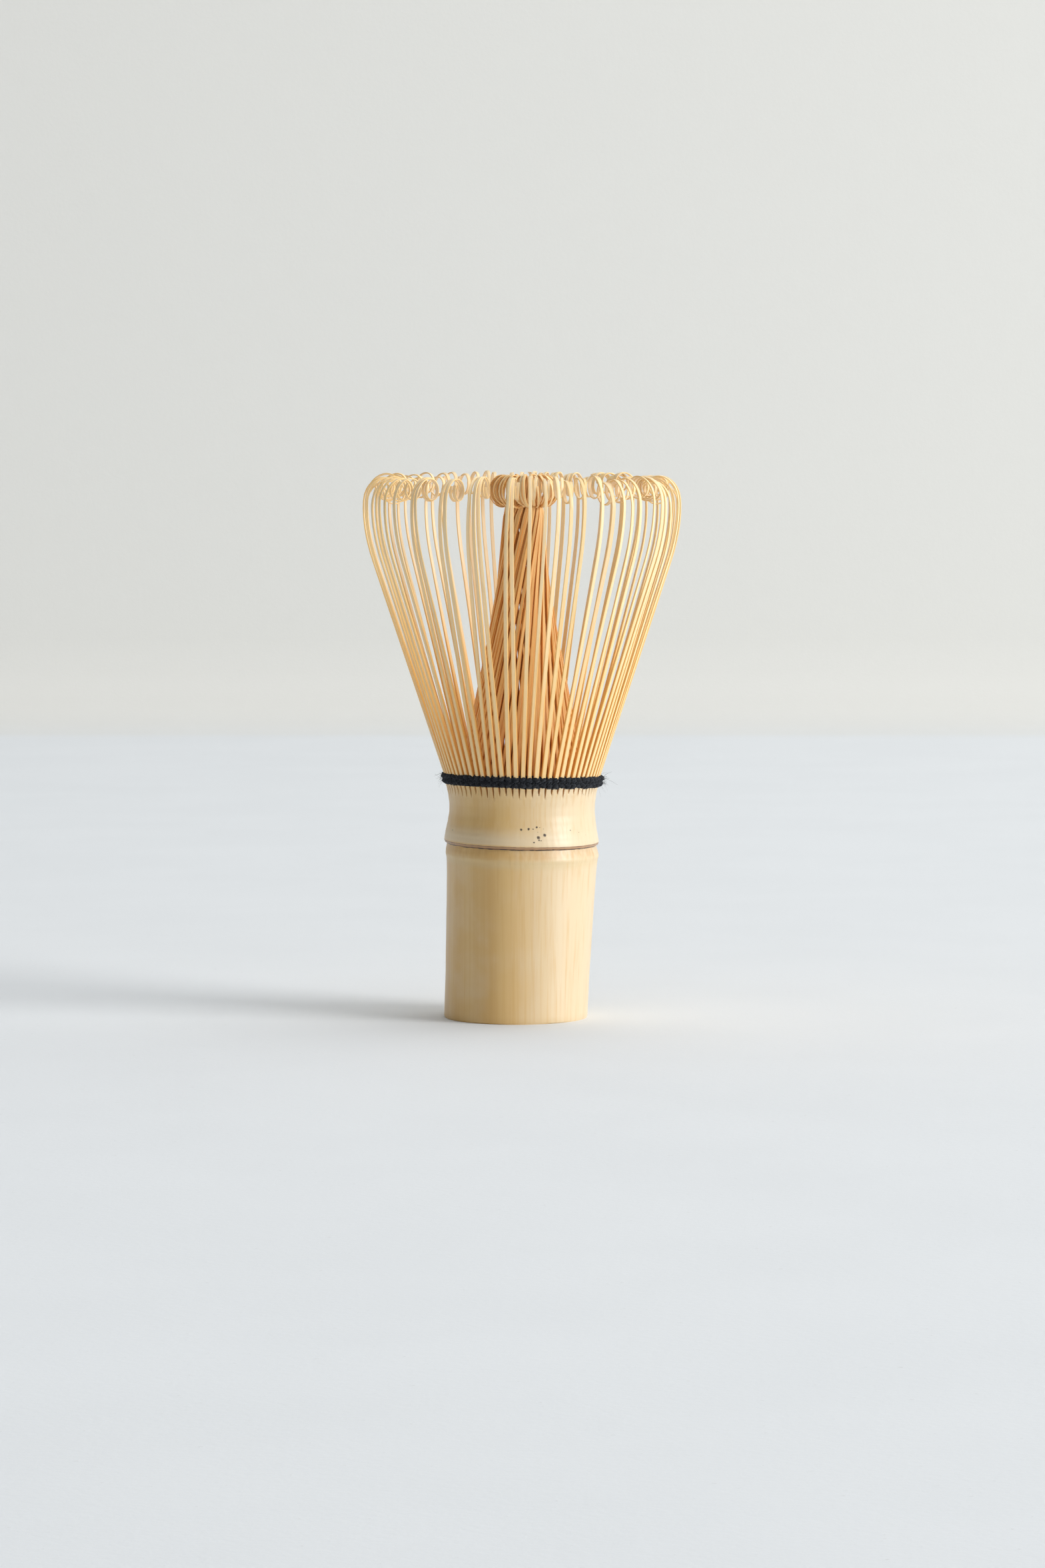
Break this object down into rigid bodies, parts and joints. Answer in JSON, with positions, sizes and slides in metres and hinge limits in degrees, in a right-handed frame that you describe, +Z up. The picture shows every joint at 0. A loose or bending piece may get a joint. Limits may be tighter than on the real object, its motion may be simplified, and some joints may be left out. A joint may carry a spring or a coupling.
{
  "type": "bamboo tea whisk",
  "caption": "Tea whisk cut from one length of bamboo: a short handle, an outer ring of springy curled tines and a twisted inner bundle, kept apart by a woven black thread.",
  "frame": {"origin": "on the table under the middle of the tines; the handle stands on z = 0", "axes": "+Z up from the handle's foot to the tips of the tines; -Y is the front, with one outer tine at its middle"},
  "size_m": [0.0616, 0.0616, 0.105],
  "materials": {
    "bamboo_skin": "dry, pale yellow bamboo skin with a satin sheen and fine upright fibres",
    "bamboo_flesh": "split and shaved bamboo, matte, warmer and more fibrous than the skin",
    "thread": "black two-ply cotton thread, matte, with short stray fibres"
  },
  "bodies": {
    "culm": {"handle": "bamboo_skin", "inner_tines_01": "bamboo_flesh", "inner_tines_02": "bamboo_flesh", "inner_tines_03": "bamboo_flesh", "inner_tines_04": "bamboo_flesh", "inner_tines_05": "bamboo_flesh", "inner_tines_06": "bamboo_flesh", "inner_tines_07": "bamboo_flesh", "inner_tines_08": "bamboo_flesh", "inner_tines_09": "bamboo_flesh", "inner_tines_10": "bamboo_flesh", "inner_tines_11": "bamboo_flesh", "inner_tines_12": "bamboo_flesh", "inner_tines_13": "bamboo_flesh", "inner_tines_14": "bamboo_flesh", "inner_tines_15": "bamboo_flesh", "inner_tines_16": "bamboo_flesh", "inner_tines_17": "bamboo_flesh", "inner_tines_18": "bamboo_flesh", "thread_lower_course": "thread", "thread_upper_course": "thread", "thread_inner_course": "thread"},
    "outer_splint_01": {"outer_tines_01": "bamboo_skin"},
    "outer_splint_02": {"outer_tines_02": "bamboo_skin"},
    "outer_splint_03": {"outer_tines_03": "bamboo_skin"},
    "outer_splint_04": {"outer_tines_04": "bamboo_skin"},
    "outer_splint_05": {"outer_tines_05": "bamboo_skin"},
    "outer_splint_06": {"outer_tines_06": "bamboo_skin"},
    "outer_splint_07": {"outer_tines_07": "bamboo_skin"},
    "outer_splint_08": {"outer_tines_08": "bamboo_skin"},
    "outer_splint_09": {"outer_tines_09": "bamboo_skin"},
    "outer_splint_10": {"outer_tines_10": "bamboo_skin"},
    "outer_splint_11": {"outer_tines_11": "bamboo_skin"},
    "outer_splint_12": {"outer_tines_12": "bamboo_skin"},
    "outer_splint_13": {"outer_tines_13": "bamboo_skin"},
    "outer_splint_14": {"outer_tines_14": "bamboo_skin"},
    "outer_splint_15": {"outer_tines_15": "bamboo_skin"},
    "outer_splint_16": {"outer_tines_16": "bamboo_skin"},
    "outer_splint_17": {"outer_tines_17": "bamboo_skin"},
    "outer_splint_18": {"outer_tines_18": "bamboo_skin"}
  },
  "joints": [
    {"name": "splint_flex_01", "type": "hinge", "parent": "culm", "child": "outer_splint_01", "pos_m": [0.00189, -0.01438, 0.0462], "axis": [0.9914, 0.1305, 0], "range_deg": [-4, 3], "stiffness_Nm_per_rad": 0.006},
    {"name": "splint_flex_02", "type": "hinge", "parent": "culm", "child": "outer_splint_02", "pos_m": [0.0067, -0.01286, 0.0462], "axis": [0.887, 0.4617, 0], "range_deg": [-4, 3], "stiffness_Nm_per_rad": 0.006},
    {"name": "splint_flex_03", "type": "hinge", "parent": "culm", "child": "outer_splint_03", "pos_m": [0.01069, -0.0098, 0.0462], "axis": [0.6756, 0.7373, 0], "range_deg": [-4, 3], "stiffness_Nm_per_rad": 0.006},
    {"name": "splint_flex_04", "type": "hinge", "parent": "culm", "child": "outer_splint_04", "pos_m": [0.0134, -0.00555, 0.0462], "axis": [0.3827, 0.9239, 0], "range_deg": [-4, 3], "stiffness_Nm_per_rad": 0.006},
    {"name": "splint_flex_05", "type": "hinge", "parent": "culm", "child": "outer_splint_05", "pos_m": [0.01449, -0.00063, 0.0462], "axis": [0.0436, 0.999, 0], "range_deg": [-4, 3], "stiffness_Nm_per_rad": 0.006},
    {"name": "splint_flex_06", "type": "hinge", "parent": "culm", "child": "outer_splint_06", "pos_m": [0.01383, 0.00436, 0.0462], "axis": [-0.3007, 0.9537, 0], "range_deg": [-4, 3], "stiffness_Nm_per_rad": 0.006},
    {"name": "splint_flex_07", "type": "hinge", "parent": "culm", "child": "outer_splint_07", "pos_m": [0.0115, 0.00883, 0.0462], "axis": [-0.6088, 0.7934, 0], "range_deg": [-4, 3], "stiffness_Nm_per_rad": 0.006},
    {"name": "splint_flex_08", "type": "hinge", "parent": "culm", "child": "outer_splint_08", "pos_m": [0.00779, 0.01223, 0.0462], "axis": [-0.8434, 0.5373, 0], "range_deg": [-4, 3], "stiffness_Nm_per_rad": 0.006},
    {"name": "splint_flex_09", "type": "hinge", "parent": "culm", "child": "outer_splint_09", "pos_m": [0.00314, 0.01416, 0.0462], "axis": [-0.9763, 0.2164, 0], "range_deg": [-4, 3], "stiffness_Nm_per_rad": 0.006},
    {"name": "splint_flex_10", "type": "hinge", "parent": "culm", "child": "outer_splint_10", "pos_m": [-0.00189, 0.01438, 0.0462], "axis": [-0.9914, -0.1305, 0], "range_deg": [-4, 3], "stiffness_Nm_per_rad": 0.006},
    {"name": "splint_flex_11", "type": "hinge", "parent": "culm", "child": "outer_splint_11", "pos_m": [-0.0067, 0.01286, 0.0462], "axis": [-0.887, -0.4617, 0], "range_deg": [-4, 3], "stiffness_Nm_per_rad": 0.006},
    {"name": "splint_flex_12", "type": "hinge", "parent": "culm", "child": "outer_splint_12", "pos_m": [-0.01069, 0.0098, 0.0462], "axis": [-0.6756, -0.7373, 0], "range_deg": [-4, 3], "stiffness_Nm_per_rad": 0.006},
    {"name": "splint_flex_13", "type": "hinge", "parent": "culm", "child": "outer_splint_13", "pos_m": [-0.0134, 0.00555, 0.0462], "axis": [-0.3827, -0.9239, 0], "range_deg": [-4, 3], "stiffness_Nm_per_rad": 0.006},
    {"name": "splint_flex_14", "type": "hinge", "parent": "culm", "child": "outer_splint_14", "pos_m": [-0.01449, 0.00063, 0.0462], "axis": [-0.0436, -0.999, 0], "range_deg": [-4, 3], "stiffness_Nm_per_rad": 0.006},
    {"name": "splint_flex_15", "type": "hinge", "parent": "culm", "child": "outer_splint_15", "pos_m": [-0.01383, -0.00436, 0.0462], "axis": [0.3007, -0.9537, 0], "range_deg": [-4, 3], "stiffness_Nm_per_rad": 0.006},
    {"name": "splint_flex_16", "type": "hinge", "parent": "culm", "child": "outer_splint_16", "pos_m": [-0.0115, -0.00883, 0.0462], "axis": [0.6088, -0.7934, 0], "range_deg": [-4, 3], "stiffness_Nm_per_rad": 0.006},
    {"name": "splint_flex_17", "type": "hinge", "parent": "culm", "child": "outer_splint_17", "pos_m": [-0.00779, -0.01223, 0.0462], "axis": [0.8434, -0.5373, 0], "range_deg": [-4, 3], "stiffness_Nm_per_rad": 0.006},
    {"name": "splint_flex_18", "type": "hinge", "parent": "culm", "child": "outer_splint_18", "pos_m": [-0.00314, -0.01416, 0.0462], "axis": [0.9763, -0.2164, 0], "range_deg": [-4, 3], "stiffness_Nm_per_rad": 0.006}
  ]
}
